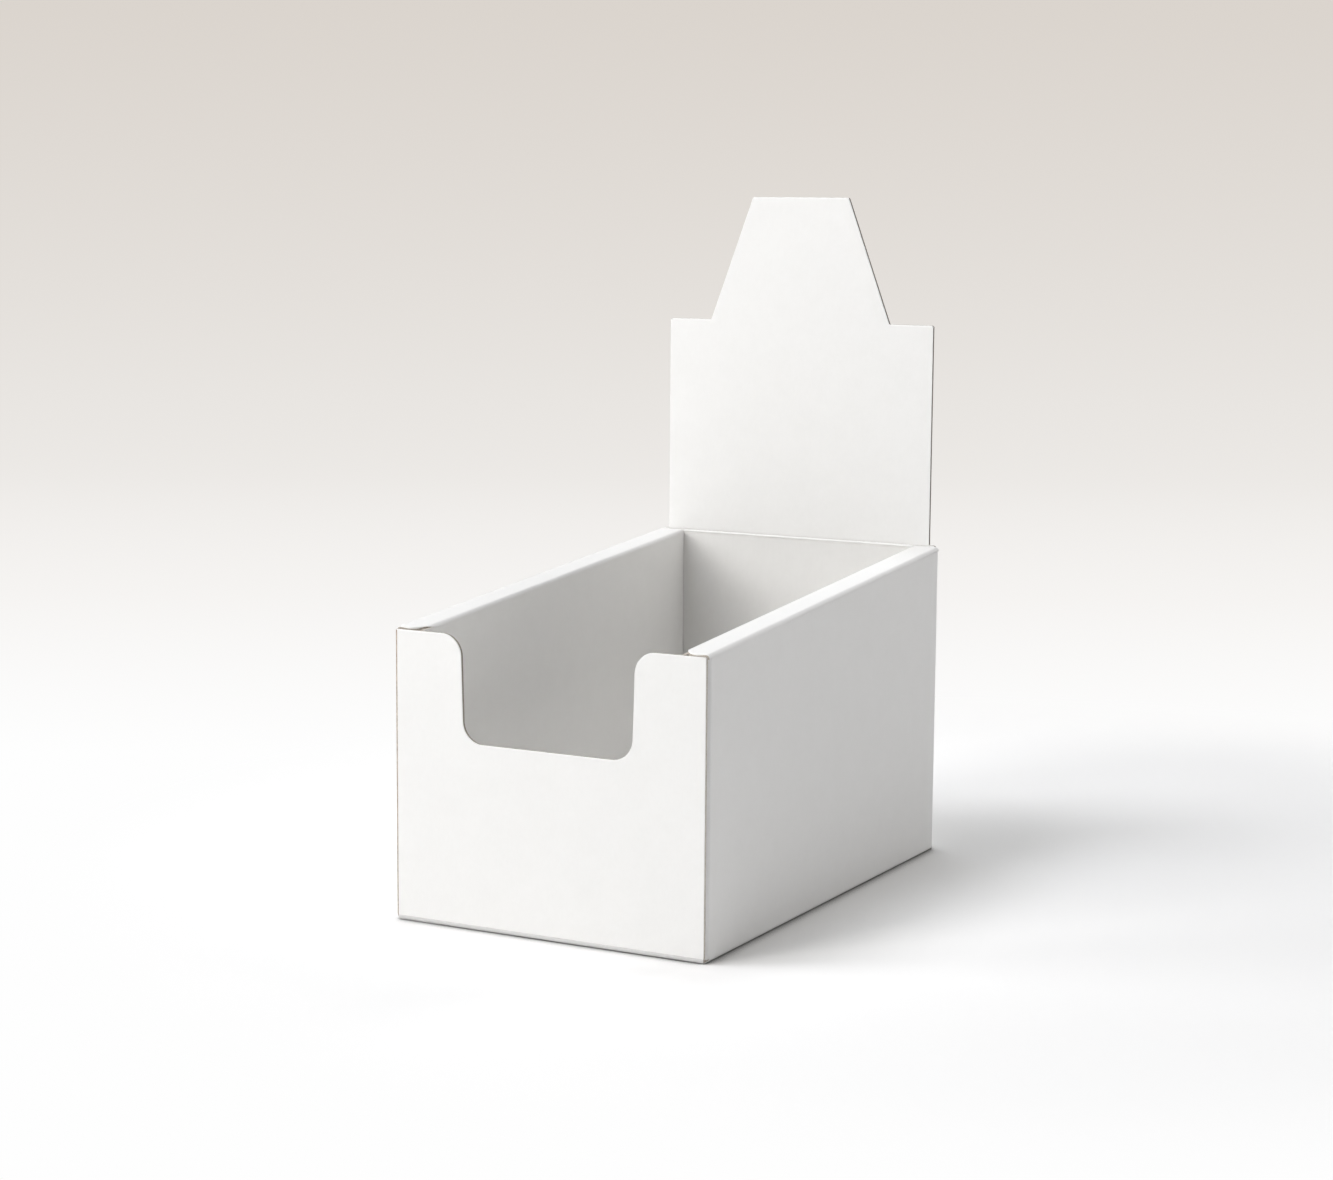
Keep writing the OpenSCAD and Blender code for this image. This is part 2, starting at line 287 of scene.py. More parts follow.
# the board that everything is folded from
board = {
    "thickness": 0.0015,
    "foldRadius": 0.0017,   # outside of a fold
    "foldSteps": 12,
    "ease": 0.00026,        # rounding along a cut edge
    "easeSteps": 3,
    "easeReach": 1.01,      # times the rounding, to find its points
    "footTop": 0.002,       # the ends of the folds at the table lie below this height
    "softTurn": 38,         # degrees, a sharper edge than this is shaded as an edge
}
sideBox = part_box("right_side_panel")
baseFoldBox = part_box("right_base_fold")
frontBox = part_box("front_panel")
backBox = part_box("back_panel")
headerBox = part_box("header_panel")
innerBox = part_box("right_inner_panel")
halfWidth = sideBox[1].x
halfDepth = -frontBox[0].y
foldX = halfWidth - board["foldRadius"]
foldY = halfDepth - board["foldRadius"]

# metres within which two places count as one
cutSlack = 1e-7
tiny = 1e-6
small = 1e-5

# numbers of a piece's first materials
outside, cutEdge, inside = 0, 1, 2


def edgesOf(geometry):
    return [g for g in geometry if isinstance(g, bmesh.types.BMEdge)]


def vertsOf(geometry):
    return [g for g in geometry if isinstance(g, bmesh.types.BMVert)]


def middle(edge):
    return (edge.verts[0].co + edge.verts[1].co) / 2


def cutLine(bm, point, normal, faces=None):
    # a line across the faces where the plane meets them
    faces = bm.faces[:] if faces is None else faces
    edges = {e for f in faces for e in f.edges}
    verts = {v for f in faces for v in f.verts}
    bmesh.ops.bisect_plane(bm, geom=[*faces, *edges, *verts], dist=cutSlack, plane_co=point,
                           plane_no=normal)


def spun(bm, geometry, centre, axis, degrees, steps):
    made = bmesh.ops.spin(bm, geom=geometry, cent=centre, axis=axis, angle=math.radians(degrees),
                          steps=steps, use_merge=False, use_normal_flip=False,
                          use_duplicate=False)
    return made["geom_last"]


def drawnTo(bm, vert, place):
    made = bmesh.ops.extrude_vert_indiv(bm, verts=[vert])
    made["verts"][0].co = place
    return made["verts"][0]


def faceOutline(bm, points, y):
    # a flat face across the tray, its outline given in X and Z
    verts = [bm.verts.new((x, y, z)) for x, z in points]
    bm.faces.new(verts)
    return verts


def roundedCorners(bm, corners, radius, steps):
    bmesh.ops.bevel(bm, geom=corners, offset=radius, offset_type="OFFSET", segments=steps,
                    profile=0.5, affect="VERTICES", material=-1, clamp_overlap=False)


def facing(bm, direction):
    # turns the skin so that its faces look the given way
    bm.normal_update()
    if sum(f.normal.dot(Vector(direction)) * f.calc_area() for f in bm.faces) < 0:
        bmesh.ops.reverse_faces(bm, faces=bm.faces[:])
    bm.normal_update()


def thickened(bm, thickness):
    # the skin stays where it is and the board grows behind it
    skin = set(bm.verts)
    bmesh.ops.solidify(bm, geom=bm.faces[:], thickness=thickness)
    return skin


def boardFromSkin(bm, thickness, keepSharp, bothSides=True):
    # gives the skin its thickness and its first materials, and eases the cut edges
    skin = thickened(bm, thickness)
    cut = []
    for face in bm.faces:
        onSkin = sum(v in skin for v in face.verts)
        if onSkin == len(face.verts):
            face.material_index = outside
        elif onSkin:
            face.material_index = cutEdge
            cut.append(face)
        else:
            face.material_index = inside
    edges = []
    for edge in {e for f in cut for e in f.edges}:
        sides = [v in skin for v in edge.verts]
        if sides[0] != sides[1] or keepSharp(edge) or (not sides[0] and not bothSides):
            continue
        if {f.material_index for f in edge.link_faces} != {cutEdge}:
            edges.append(edge)
    eased = bmesh.ops.bevel(bm, geom=edges, offset=board["ease"], offset_type="OFFSET",
                            segments=board["easeSteps"], profile=0.5, affect="EDGES",
                            material=-1, clamp_overlap=False, loop_slide=False)
    for face in eased["faces"]:
        face.material_index = outside
    return eased["faces"]


def easeScaled(verts, axis, edge, factor):
    # the rounding behind a cut edge grows or shrinks away from that edge
    outward = 1 if edge > 0 else -1
    for vert in verts:
        gap = (edge - vert.co[axis]) * outward
        if 0 <= gap < board["ease"] * board["easeReach"]:
            vert.co[axis] = edge - gap * factor * outward


def finished(bm, name, materials, body, nodes=()):
    mesh = bpy.data.meshes.new(name)
    bm.normal_update()
    bm.to_mesh(mesh)
    bm.free()
    for material in materials:
        mesh.materials.append(material)
    mesh.shade_smooth()
    mesh.set_sharp_from_angle(angle=math.radians(board["softTurn"]))
    piece = bpy.data.objects.new(name, mesh)
    bpy.context.scene.collection.objects.link(piece)
    weighted = piece.modifiers.new("weightedNormals", "WEIGHTED_NORMAL")
    weighted.keep_sharp = True
    weighted.mode = "FACE_AREA_WITH_ANGLE"
    if body:
        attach(piece, body)
    if nodes:
        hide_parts(*nodes)
    return piece


print("helpers ready")

# fold along the table, the same under the front and the back panel
panelFoot = {
    "cornerStart": 0.0025,   # height at which the lower corners begin to curve in
    "cornerInset": {-1: 0.0019, 1: 0.0009},   # how far, on the left and on the right
    "cornerBend": 1.7,
    "cornerReach": 0.0028,   # from a side, over which the pressed line runs out too
    "scoreHeight": 0.00022,  # height of the pressed line above the fold
    "scoreWidth": 0.00016,
    "scoreDepth": 0.00015,
    "scoreEnd": 0.0036,      # from a side, a last row of points before the run-out
}


def foldedFoot(bm, side, wide, settings):
    # rows for the pressed line, and the quarter fold under an end panel
    low = frontBox[0].z
    score = low + settings["scoreHeight"]
    for inset in (settings["scoreEnd"], settings["cornerReach"]):
        for x in (inset - wide, wide - inset):
            cutLine(bm, (x, 0, 0), (1, 0, 0))
    for height in (score - settings["scoreWidth"], score, score + settings["scoreWidth"],
                   settings["cornerStart"]):
        cutLine(bm, (0, 0, height), (0, 0, 1))
    foot = [e for e in bm.edges if all(abs(v.co.z - low) < tiny for v in e.verts)]
    spun(bm, foot + list({v for e in foot for v in e.verts}), (0, side * foldY, low), (1, 0, 0),
         -90 * side, board["foldSteps"])


def joinsBase(edge):
    # the fold's end at the table, where the sheet runs on into the base
    place = middle(edge)
    return abs(place.y) < foldY + small and place.z < board["footTop"]


def shapedFoot(bm, side, wide, settings):
    # presses the line in and draws the lower corners in round the fold
    low, start = frontBox[0].z, settings["cornerStart"]
    score = low + settings["scoreHeight"]
    reach = start - low + board["foldRadius"] * math.pi / 2
    for vert in bm.verts:
        x, y, z = vert.co
        between = abs(x) < wide - settings["cornerReach"] + tiny
        if between and abs(z - score) < tiny and abs(y) > halfDepth - tiny:
            vert.co.y -= side * settings["scoreDepth"]
        if between or z > start - tiny:
            continue
        down = start - z
        if z < low:
            down = start - low + board["foldRadius"] * math.atan2(low - z, abs(y) - foldY)
        end = 1 if x > 0 else -1
        vert.co.x -= end * settings["cornerInset"][end] * (down / reach) ** settings["cornerBend"]


# front of the tray with its U-shaped cut-out
frontPanel = {
    "mouth": 0.0723,        # width of the cut-out at the top and at its floor
    "floor": 0.0701,
    "floorHeight": 0.0697,
    "cutRadius": 0.008,
    "cutSteps": 12,
    "crush": 2.6,           # the left side's eased corner is this much wider
    "edgeShadeReach": 1.5,      # times the rounding, how far round the brown tone of core and painted shade reaches
    "topEase": 1.8,         # the same along the top and the cut-out's floor
    "sideEase": 0.35,       # the right side's is narrower
    "shadeBandHeight": 0.00193,  # below this the fold is painted greyer, a painted shade on its underside
}


def makeFrontPanel(settings):
    seamFace, shadeBandFace, shadedEdgeFace = 3, 4, 5
    bm = bmesh.new()
    wide, low, high = frontBox[1].x, frontBox[0].z, frontBox[1].z
    mouth, floor = settings["mouth"] / 2, settings["floor"] / 2
    floorHeight = settings["floorHeight"]
    verts = faceOutline(bm, [(-wide, low), (wide, low), (wide, high), (mouth, high),
                             (floor, floorHeight), (-floor, floorHeight), (-mouth, high),
                             (-wide, high)], -halfDepth)
    roundedCorners(bm, verts[3:7], settings["cutRadius"], settings["cutSteps"])
    foldedFoot(bm, -1, wide, panelFoot)
    facing(bm, (0, -1, 0))
    eased = boardFromSkin(bm, board["thickness"], joinsBase)
    for face in bm.faces:
        place = face.calc_center_median()
        if face.material_index == cutEdge and place.x > wide - board["ease"]:
            face.material_index = seamFace
        # painted shade: the outside faces low on the fold get the greyer band
        if face.material_index == outside and place.z < settings["shadeBandHeight"]:
            face.material_index = shadeBandFace
    for face in eased:
        # the guillotined left side is crushed; its eased corner is painted brown, partly the core
        # that shows, partly shade of the gap beside the side wall
        place = face.calc_center_median()
        onFront = place.y < settings["edgeShadeReach"] * board["ease"] - halfDepth
        if onFront and place.x < board["ease"] - wide:
            face.material_index = shadedEdgeFace
    rounded = [v for v in {v for f in eased for v in f.verts}
               if v.co.y < board["ease"] - halfDepth and v.co.z > low]
    easeScaled(rounded, 0, -wide, settings["crush"])
    right = wide - board["ease"] * board["easeReach"]
    easeScaled([v for v in rounded if v.co.x > right], 1, -halfDepth, settings["sideEase"])
    for height in (floorHeight, high):
        easeScaled(rounded, 2, height, settings["topEase"])
    shapedFoot(bm, -1, wide, panelFoot)
    materials = (whiteLiner, coreAcrossY, innerLiner, frontCore, shadedFoldBand, shadedEdgeCore)
    finished(bm, "frontPanel", materials, "tray", ("front_panel", "front_base_fold"))


makeFrontPanel(frontPanel)
print("front panel made")

# back of the tray, up to the header's crease
backPanel = {"cornerRadius": 0.0015, "cornerSteps": 8}


def makeBackPanel(settings):
    bm = bmesh.new()
    wide, low, high = backBox[1].x, backBox[0].z, backBox[1].z
    verts = faceOutline(bm, [(-wide, low), (wide, low), (wide, high), (-wide, high)], halfDepth)
    roundedCorners(bm, verts[2:], settings["cornerRadius"], settings["cornerSteps"])
    for side in (-1, 1):
        cutLine(bm, (side * headerBox[1].x, 0, 0), (1, 0, 0))
    foldedFoot(bm, 1, wide, panelFoot)
    facing(bm, (0, 1, 0))

    def staysSharp(edge):
        # also along the crease, where the board runs on into the header
        place = middle(edge)
        return joinsBase(edge) or (place.z > high - tiny and abs(place.x) < headerBox[1].x)

    boardFromSkin(bm, board["thickness"], staysSharp)
    shapedFoot(bm, 1, wide, panelFoot)
    finished(bm, "backPanel", (whiteLiner, coreAcrossY, innerLiner), "tray",
             ("back_panel", "back_base_fold"))


makeBackPanel(backPanel)
print("back panel made")

# header card with its square shoulders and tapered top
headerCard = {
    "shoulder": 0.0898,      # height above the crease
    "peakFoot": 0.0818,      # widths of the tapered top
    "peakTop": 0.0437,
    "leftShoulder": 0.0011,  # radii of the corners, each with its steps
    "rightShoulder": 0.0007,
    "shoulderSteps": 6,
    "notchRadius": 0.0004,
    "notchSteps": 3,
    "peakRadius": 0.0004,
    "peakSteps": 4,
    "topEase": 2.0,          # roundings along the top edges are wider, down the side narrower
    "sideEase": 0.4,
}


def makeHeaderCard(settings):
    bm = bmesh.new()
    wide, low, high = headerBox[1].x, headerBox[0].z, headerBox[1].z
    shoulder = backBox[1].z + settings["shoulder"]
    foot, top = settings["peakFoot"] / 2, settings["peakTop"] / 2
    verts = faceOutline(bm, [(-wide, low), (wide, low), (wide, shoulder), (foot, shoulder),
                             (top, high), (-top, high), (-foot, shoulder), (-wide, shoulder)],
                        headerBox[1].y)
    roundedCorners(bm, [verts[2]], settings["rightShoulder"], settings["shoulderSteps"])
    roundedCorners(bm, [verts[7]], settings["leftShoulder"], settings["shoulderSteps"])
    roundedCorners(bm, [verts[3], verts[6]], settings["notchRadius"], settings["notchSteps"])
    roundedCorners(bm, verts[4:6], settings["peakRadius"], settings["peakSteps"])
    facing(bm, (0, 1, 0))
    faces = boardFromSkin(bm, board["thickness"], lambda edge: middle(edge).z < low + tiny)
    eased = {v for f in faces for v in f.verts}
    for height in (shoulder, high):
        easeScaled(eased, 2, height, settings["topEase"])
    easeScaled(eased, 0, wide, settings["sideEase"])
    finished(bm, "headerCard", (whiteLiner, shadedHeaderCore, whiteLiner), "header",
             ("header_panel",))


makeHeaderCard(headerCard)
print("header card made")

# pressed strip of board that the header bends on, and the bead below it
crease = {
    "sink": 0.00012,    # depth of the pressed line on both faces
    "rows": 6,
    "beadSteps": 8,
    "beadEnd": 0.0012,  # length over which the bead's ends run out
    "beadTaper": ((0, 0.05), (0.4, 0.7), (1, 1)),   # shares of that length and of its height
}


def makeCreaseStrip(settings):
    bm = bmesh.new()
    low, high, wide = backBox[1].z, headerBox[0].z, headerBox[1].x
    faceOutline(bm, [(-wide, low), (wide, low), (wide, high), (-wide, high)],
                headerBox[1].y - settings["sink"])
    for row in range(1, settings["rows"]):
        cutLine(bm, (0, 0, low + (high - low) * row / settings["rows"]), (0, 0, 1))
    facing(bm, (0, 1, 0))
    thickened(bm, board["thickness"] - 2 * settings["sink"])
    strip = finished(bm, "creaseStrip", (highlitFoldLiner,), None)
    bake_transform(strip)


def makeCreaseBead(settings):
    low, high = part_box("header_crease")
    rise, half = high.y - low.y, (high.z - low.z) / 2
    radius = (half * half + rise * rise) / (2 * rise)
    spread = 2 * math.asin(half / radius)
    middleZ = (low.z + high.z) / 2
    bm = bmesh.new()
    first = bm.verts.new((low.x, high.y, low.z))
    spun(bm, [first], (low.x, low.y + radius, middleZ), (1, 0, 0), -math.degrees(spread),
         settings["beadSteps"])

    # sections from the left end to the right, each with its share of the height
    end, taper = settings["beadEnd"], settings["beadTaper"]
    stations = [(low.x + end * away, share) for away, share in taper]
    stations += [(high.x - end * away, share) for away, share in reversed(taper)]
    sections = [bm.verts[:]]
    for x, share in stations[1:]:
        edges = [e for e in bm.edges if all(v in sections[-1] for v in e.verts)]
        sections.append(vertsOf(bmesh.ops.extrude_edge_only(bm, edges=edges)["geom"]))
        for vert in sections[-1]:
            vert.co.x = x
    for section, (x, share) in zip(sections, stations):
        for vert in section:
            vert.co.y = high.y - (high.y - vert.co.y) * share
            vert.co.z = middleZ + (vert.co.z - middleZ) * share
    bmesh.ops.holes_fill(bm, edges=[e for e in bm.edges if e.is_boundary])
    bmesh.ops.recalc_face_normals(bm, faces=bm.faces[:])
    finished(bm, "creaseBead", (highlitFoldLiner,), "tray", ("header_crease",))


makeCreaseStrip(crease)
makeCreaseBead(crease)
print("crease made")

# bottom of the tray with the slots that take the lock tabs
basePanel = {"slotClear": 0.00025, "tabLength": 0.024, "tabPitch": 0.096}


def makeBasePanel(settings):
    low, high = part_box("base_panel")
    clear, length, pitch = (settings[name] for name in ("slotClear", "tabLength", "tabPitch"))
    bm = bmesh.new()
    bmesh.ops.create_grid(bm, x_segments=1, y_segments=1, size=0.5)
    bmesh.ops.scale(bm, vec=(high.x - low.x, high.y - low.y, 1), verts=bm.verts)
    slotLow, slotHigh = innerBox[0].x - clear, innerBox[1].x + clear
    near, far = (pitch - length) / 2 - clear, (pitch + length) / 2 + clear
    for side in (-1, 1):
        for x in (slotLow, slotHigh):
            cutLine(bm, (side * x, 0, 0), (1, 0, 0))
        for y in (near, far):
            cutLine(bm, (0, side * y, 0), (0, 1, 0))
    slots = [f for f in bm.faces if slotLow < abs(f.calc_center_median().x) < slotHigh
             and near < abs(f.calc_center_median().y) < far]
    bmesh.ops.delete(bm, geom=slots, context="FACES")
    facing(bm, (0, 0, -1))
    boardFromSkin(bm, high.z - low.z, lambda edge: True)
    finished(bm, "basePanel", (whiteLiner, coreAcrossZ, innerLiner), "tray",
             ("base_panel",))


makeBasePanel(basePanel)
print("base panel made")

# a side wall: one sheet from the fold at the table over the rim to the lock tabs
sideWall = {
    "rimFront": 0.1103,      # height of the rim at the front face
    "rimBack": 0.1264,
    "rimRadius": 0.008,      # front inner corner of the rim
    "rimSteps": 10,
    "freeRise": {-1: 0.0009, 1: 0.0004},   # left and right, the inner panel's free front end
    "freeStart": 0.0013,     # length over which that end rises beside the rim
    "freeRows": (0.06, 0.11, 0.16, 0.5, 0.75),   # shares of the rim's radius
    "freeRadius": 0.0004,
    "freeSteps": 3,
    "noseEase": 2.6,         # the rim's front edge is rounded over this much further down
    "noseReach": 1.1,        # times the rounding, to find its points
    "footReach": 0.0007,     # the base fold's ends reach past its middle at the table
    "footBend": 1.6,
    "footSharp": 0.0018,     # below this the wall runs on into the base
    "cornerRise": -0.0006,   # height that a corner fold's lower end gains round the corner
    "flapRadius": 0.003,
    "flapSteps": 6,
    "flapDrop": 0.0003,
    "tabLow": 0.0002,
    "tabRows": 0.09,         # only faces below this height are cut for the tabs
}
innerX = innerBox[0].x
innerFold = innerX + board["foldRadius"]
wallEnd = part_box("right_rim_strip")[1].y
foldEnd = baseFoldBox[1].y
panelEnd = sideBox[1].y
cornerY = sideWall["rimRadius"] - wallEnd   # where the rim's rounded corner begins
rimLine = sideWall["rimFront"] - board["foldRadius"]
rimSlope = (sideWall["rimBack"] - sideWall["rimFront"]) / (2 * halfDepth)


def lineAt(y):
    # height of the rim folds' lower ends
    return rimLine + (y + halfDepth) * rimSlope


def facesIn(bm, which):
    def partOf(face):
        centre = face.calc_center_median()
        if centre.z > lineAt(centre.y):
            return "rim"
        if centre.x > halfWidth - tiny:
            return "panel"
        return "inner" if centre.x < innerX + tiny else "foot"

    return [f for f in bm.faces if partOf(f) == which]


def wallSheet(bm, settings):
    # section of the wall at the front face, from the table up and over, drawn to the back
    radius, steps = board["foldRadius"], board["foldSteps"]
    foot = bm.verts.new((foldX, -halfDepth, 0))
    last = spun(bm, [foot], (foldX, 0, radius), (0, 1, 0), -90, steps)[0]
    last = drawnTo(bm, last, (halfWidth, -halfDepth, rimLine))
    last = spun(bm, [last], (foldX, 0, rimLine), (0, 1, 0), -90, steps)[0]
    last = drawnTo(bm, last, (innerFold, -halfDepth, rimLine + radius))
    last = spun(bm, [last], (innerFold, 0, rimLine), (0, 1, 0), -90, steps)[0]
    drawnTo(bm, last, (innerX, -halfDepth, board["thickness"]))
    made = bmesh.ops.extrude_edge_only(bm, edges=bm.edges[:])
    for vert in vertsOf(made["geom"]):
        vert.co.y = halfDepth
        if vert.co.z > rimLine - tiny:
            vert.co.z += settings["rimBack"] - settings["rimFront"]

    # each part has its own length, and the base fold's ends run in to the side panel's
    ends = {"foot": foldEnd, "panel": panelEnd, "rim": wallEnd, "inner": wallEnd}
    for which, end in ends.items():
        for y in (-end, end):
            cutLine(bm, (0, y, 0), (0, 1, 0), facesIn(bm, which))
    waste = [f for which, end in ends.items() for f in facesIn(bm, which)
             if abs(f.calc_center_median().y) > end]
    bmesh.ops.delete(bm, geom=waste, context="FACES")
    for vert in bm.verts:
        x, y, z = vert.co
        if abs(abs(y) - foldEnd) < tiny and z < radius + tiny and x > foldX - tiny:
            end = foldEnd + settings["footReach"]
            runIn = (end - panelEnd) * (z / radius) ** settings["footBend"]
            vert.co.y = math.copysign(end - runIn, y)


def rimCorner(bm, settings, side):
    # rounded front corner of the rim, which leaves the inner panel's front free
    corner, steps = settings["rimRadius"], settings["rimSteps"]
    middleX = innerX + corner
    cutLine(bm, (0, cornerY, 0), (0, 1, 0), facesIn(bm, "rim") + facesIn(bm, "inner"))

    def onTop(place):
        return abs(place.x - innerX) < tiny and abs(place.z - lineAt(place.y)) < tiny

    free = [e for e in bm.edges if onTop(middle(e)) and middle(e).y < cornerY]
    bmesh.ops.split_edges(bm, edges=free)
    for step in range(1, steps):
        x = middleX - corner * math.cos(math.radians(step * 90 / steps))
        if x > innerFold + small:
            flat = [f for f in facesIn(bm, "rim") if f.calc_center_median().x > innerFold]
            cutLine(bm, (x, 0, 0), (1, 0, 0), flat)
    rimVerts = {v for f in facesIn(bm, "rim") for v in f.verts}
    for vert in rimVerts:
        if abs(vert.co.y + wallEnd) < tiny and vert.co.x < middleX:
            drop = math.sqrt(max(0, corner ** 2 - (middleX - vert.co.x) ** 2))
            move = cornerY - drop - vert.co.y
            vert.co.y += move
            vert.co.z += move * rimSlope
    bmesh.ops.remove_doubles(bm, verts=list(rimVerts), dist=tiny)

    # the free end stands up a little beside the rim
    for share in settings["freeRows"]:
        cutLine(bm, (0, cornerY - share * corner, 0), (0, 1, 0), facesIn(bm, "inner"))
    freeTop = [v for v in bm.verts if onTop(v.co) and v.co.y < cornerY - tiny]
    for vert in freeTop:
        share = min(1, (cornerY - vert.co.y) / settings["freeStart"])
        vert.co.z += settings["freeRise"][side] * share * share * (3 - 2 * share)
    tip = [v for v in freeTop if abs(v.co.y + wallEnd) < tiny]
    roundedCorners(bm, tip, settings["freeRadius"], settings["freeSteps"])


def cornerFolds(bm, settings):
    # corner folds and the flaps that are glued to the front and back panels
    radius = board["foldRadius"]
    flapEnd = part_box("front_right_flap")[0].x
    for end in (-1, 1):
        upright = [e for e in bm.edges if e.is_boundary and all(
            v.co.x > halfWidth - tiny and abs(v.co.y - end * panelEnd) < tiny for v in e.verts)]
        panelTop = max(v.co.z for e in upright for v in e.verts)
        before = set(bm.verts)
        turned = spun(bm, upright + list({v for e in upright for v in e.verts}),
                      (foldX, end * panelEnd, 0), (0, 0, 1), 90 * end, board["foldSteps"])
        made = vertsOf(bmesh.ops.extrude_edge_only(bm, edges=edgesOf(turned))["geom"])
        for vert in set(bm.verts) - before:
            if vert in made:
                vert.co.x = flapEnd
            if vert.co.z > panelTop - tiny:
                vert.co.z = lineAt(vert.co.y) - (settings["flapDrop"] if vert in made else 0)
            elif vert.co.z < radius + tiny:
                vert.co.z += settings["cornerRise"] * (abs(vert.co.y) - panelEnd) / radius
        roundedCorners(bm, made, settings["flapRadius"], settings["flapSteps"])


def lockTabs(bm, settings):
    # tabs under the inner panel, over the base's slots
    near = (basePanel["tabPitch"] - basePanel["tabLength"]) / 2
    far = near + basePanel["tabLength"]
    for y in (-far, -near, near, far):
        low = [f for f in facesIn(bm, "inner") if f.calc_center_median().z < settings["tabRows"]]
        cutLine(bm, (0, y, 0), (0, 1, 0), low)

    def onTab(edge):
        atFoot = all(v.co.z < board["thickness"] + tiny and v.co.x < innerX + tiny
                     for v in edge.verts)
        return edge.is_boundary and atFoot and near < abs(middle(edge).y) < far

    tabs = [e for e in bm.edges if onTab(e)]
    for vert in vertsOf(bmesh.ops.extrude_edge_only(bm, edges=tabs)["geom"]):
        vert.co.z = settings["tabLow"]


def roundedNose(eased, settings):
    # rim's front edge and its rounded corner, run out towards the folds
    radius, ease = board["foldRadius"], board["ease"]
    for vert in {v for f in eased for v in f.verts}:
        gap = lineAt(vert.co.y) + radius - vert.co.z
        flat = min(abs(vert.co.x) - innerFold, foldX - abs(vert.co.x)) / radius
        if vert.co.y < cornerY + ease and 0 < gap < ease * settings["noseReach"] and flat > 0:
            vert.co.z -= gap * (settings["noseEase"] - 1) * min(1, flat)


def makeWall(settings, side, name):
    # shaped as the right wall, and mirrored for the left
    cornerHighlightFace = 3
    bm = bmesh.new()
    wallSheet(bm, settings)
    rimCorner(bm, settings, side)
    foot = [v for v in bm.verts if v.co.z < board["foldRadius"] + tiny]
    bmesh.ops.remove_doubles(bm, verts=foot, dist=tiny)
    cornerFolds(bm, settings)
    lockTabs(bm, settings)
    bmesh.ops.scale(bm, vec=(side, 1, 1), verts=bm.verts)
    bmesh.ops.recalc_face_normals(bm, faces=bm.faces[:])
    bm.normal_update()
    panels = [f for f in bm.faces if abs(f.calc_center_median().x) > halfWidth - tiny]
    if max(panels, key=lambda face: face.calc_area()).normal.x * side < 0:
        bmesh.ops.reverse_faces(bm, faces=bm.faces[:])

    def staysSharp(edge):
        # where the wall runs on into the base, and along the inner panel's free top
        x, y, z = middle(edge)
        atBase = z < settings["footSharp"] and abs(x) > foldX - tiny and abs(y) < foldEnd - tiny
        atTop = abs(x) < innerX + tiny and z > rimLine - small
        return atBase or (atTop and settings["freeRadius"] - wallEnd < y < cornerY + small)

    eased = boardFromSkin(bm, board["thickness"], staysSharp, bothSides=False)
    roundedNose(eased, settings)
    # painted highlight: the corner folds between the panels get the lighter fold liner
    for face in bm.faces:
        place = face.calc_center_median()
        inCorner = foldX < abs(place.x) and panelEnd < abs(place.y)
        inHeight = board["foldRadius"] < place.z < lineAt(place.y)
        if face.material_index == outside and inCorner and inHeight:
            face.material_index = cornerHighlightFace
    hand = "right" if side > 0 else "left"
    parts = ("base_fold", "side_panel", "outer_rim_fold", "rim_strip", "inner_rim_fold",
             "inner_panel")
    nodes = [f"{hand}_{part}" for part in parts]
    nodes += [f"{end}_{hand}_{part}" for end in ("front", "back")
              for part in ("corner_fold", "flap")]
    finished(bm, name, (whiteLiner, coreAcrossX, innerLiner, highlitFoldLiner), "tray", nodes)


makeWall(sideWall, -1, "leftWall")
makeWall(sideWall, 1, "rightWall")
print("side walls made")

for name in ("front_glue_lines", "back_glue_lines"):
    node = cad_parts[name]
    node.data.materials.clear()
    node.data.materials.append(glueMaterial)
print("glue finished")

# pale sweep that stands behind the tray, square to the camera's heading
sweep = {
    "front": -9.0,
    "turnStart": 1.55,     # where the floor begins to turn up
    "turnRadius": 0.7,
    "turnSteps": 24,
    "top": 2.2,
    "halfWidth": 8.0,
    "rough": 0.9,
    "specular": 0.1,
    "litTone": (0.86, 0.86, 0.86),
    "seenTone": (1.0, 0.992, 0.98),
    "litMiddle": (0.10, 0.09, 0),   # the lit floor that takes the tray's shadow lies round here
    "nearRadius": 0.22,             # and gives way to the plain background between these
    "farRadius": 0.39,
    "contactReach": 0.009,
    "contactSamples": 12,
    # openness of the floor, and the share of its light that is left
    "contact": ((0.44, 0.24), (0.54, 0.48), (0.62, 0.82), (0.76, 0.945), (0.96, 1.0)),
    "toneStart": 0.25,     # metres ahead of the tray and up the sweep
    "toneEnd": 4.45,
    "tones": ((0.0, (0.991, 0.991, 0.991)), (0.13, (0.92, 0.904, 0.888)),
              (0.39, (0.812, 0.786, 0.757)), (0.58, (0.708, 0.663, 0.617)),
              (1.0, (0.64, 0.59, 0.54))),
}


def seenRays(tree):
    # 1 for the rays that show the background: those of the camera, and in gloss and glass
    path = tree.nodes.new("ShaderNodeLightPath")
    total = path.outputs["Is Camera Ray"]
    for kind in ("Is Glossy Ray", "Is Transmission Ray"):
        total = combined(tree, "MAXIMUM", total, path.outputs[kind])
    return total


def multiplied(tree, colour, factor):
    # the factor is a tone or another colour
    product = tree.nodes.new("ShaderNodeMix")
    product.data_type = "RGBA"
    product.blend_type = "MULTIPLY"
    product.inputs["Factor"].default_value = 1
    tree.links.new(colour, product.inputs["A"])
    if isinstance(factor, tuple):
        product.inputs["B"].default_value = (*factor, 1)
    else:
        tree.links.new(factor, product.inputs["B"])
    return product.outputs["Result"]


def contactShade(tree, settings):
    # the paper darkens where the tray's folds all but touch it
    openness = tree.nodes.new("ShaderNodeAmbientOcclusion")
    openness.inputs["Distance"].default_value = settings["contactReach"]
    openness.samples = settings["contactSamples"]
    stops = [(place, (level,) * 3) for place, level in settings["contact"]]
    return toned(tree, openness.outputs["AO"], stops)


